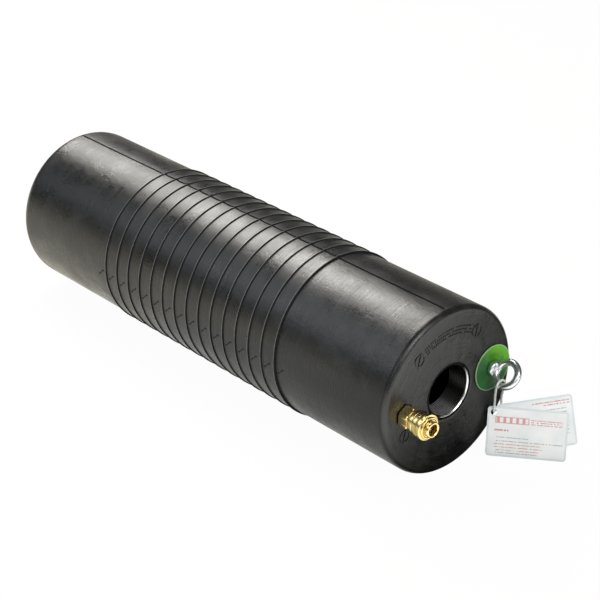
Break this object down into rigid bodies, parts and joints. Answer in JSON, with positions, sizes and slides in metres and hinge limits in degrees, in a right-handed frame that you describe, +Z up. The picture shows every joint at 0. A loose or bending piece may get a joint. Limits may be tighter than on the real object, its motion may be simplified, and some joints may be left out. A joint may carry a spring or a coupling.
{
  "type": "inflatable pipe plug",
  "caption": "ribbed rubber test plug for pipes, with threaded bypass passage, quick air coupler, lifting eye and hanging tag cards",
  "frame": {"origin": "on the floor below the middle of the plug's length", "axes": "+X along the plug towards the coupler end, +Z up, plug lying on its side"},
  "size_m": [0.7407, 0.2547, 0.1966],
  "materials": {
    "rubber": "satin black moulded rubber",
    "hose_rubber": "matt black hose rubber",
    "fitting_steel": "turned steel",
    "zinc_steel": "bright zinc plated steel",
    "spring_steel": "bright spring and ball steel",
    "polished_brass": "turned and polished brass",
    "washer_fibre": "pressed sealing fibre",
    "seal_rubber": "dark red-brown seal rubber",
    "green_plate": "bright green plastic",
    "laminated_card": "printed card sealed in clear laminate",
    "tie_plastic": "translucent white nylon"
  },
  "bodies": {
    "plug": {"rubber_body": "rubber", "front_end_fitting": "fitting_steel", "rear_end_fitting": "fitting_steel", "bypass_hose": "hose_rubber", "front_clamp_band": "zinc_steel", "front_clamp_housing": "zinc_steel", "front_clamp_screw": "zinc_steel", "rear_clamp_band": "zinc_steel", "rear_clamp_housing": "zinc_steel", "rear_clamp_screw": "zinc_steel", "coupler_seal_washer": "washer_fibre", "coupler_body": "polished_brass", "coupler_nose": "polished_brass", "sleeve_spring": "spring_steel", "sleeve_retaining_ring": "spring_steel", "valve_spring": "spring_steel", "nose_seal": "seal_rubber", "round_plate": "green_plate", "eye_bolt": "zinc_steel", "tag_card_front": "laminated_card", "tag_card_rear": "laminated_card", "tag_tie": "tie_plastic"},
    "sleeve": {"coupler_sleeve": "polished_brass"},
    "poppet": {"valve_poppet": "polished_brass", "poppet_seal": "seal_rubber"},
    "ball_1": {"locking_ball_1": "spring_steel"},
    "ball_2": {"locking_ball_2": "spring_steel"},
    "ball_3": {"locking_ball_3": "spring_steel"},
    "ball_4": {"locking_ball_4": "spring_steel"}
  },
  "joints": [
    {"name": "sleeve_slide", "type": "slide", "parent": "plug", "child": "sleeve", "axis": [-1, 0, 0], "range_m": [0, 0.003], "stiffness_N_per_m": 900, "springref_m": -0.006, "deforming": ["sleeve_spring"]},
    {"name": "poppet_slide", "type": "slide", "parent": "plug", "child": "poppet", "axis": [-1, 0, 0], "range_m": [0, 0.004], "stiffness_N_per_m": 600, "springref_m": -0.005, "deforming": ["valve_spring"]},
    {"name": "ball_1_slide", "type": "slide", "parent": "plug", "child": "ball_1", "axis": [0, 0.7071, 0.7071], "range_m": [0, 0.0011]},
    {"name": "ball_2_slide", "type": "slide", "parent": "plug", "child": "ball_2", "axis": [0, -0.7071, 0.7071], "range_m": [0, 0.0011]},
    {"name": "ball_3_slide", "type": "slide", "parent": "plug", "child": "ball_3", "axis": [0, -0.7071, -0.7071], "range_m": [0, 0.0011]},
    {"name": "ball_4_slide", "type": "slide", "parent": "plug", "child": "ball_4", "axis": [0, 0.7071, -0.7071], "range_m": [0, 0.0011]}
  ],
  "couplings": [
    {"joint": "ball_1_slide", "follows": "sleeve_slide", "ratio": 0.36667},
    {"joint": "ball_2_slide", "follows": "sleeve_slide", "ratio": 0.36667},
    {"joint": "ball_3_slide", "follows": "sleeve_slide", "ratio": 0.36667},
    {"joint": "ball_4_slide", "follows": "sleeve_slide", "ratio": 0.36667}
  ]
}
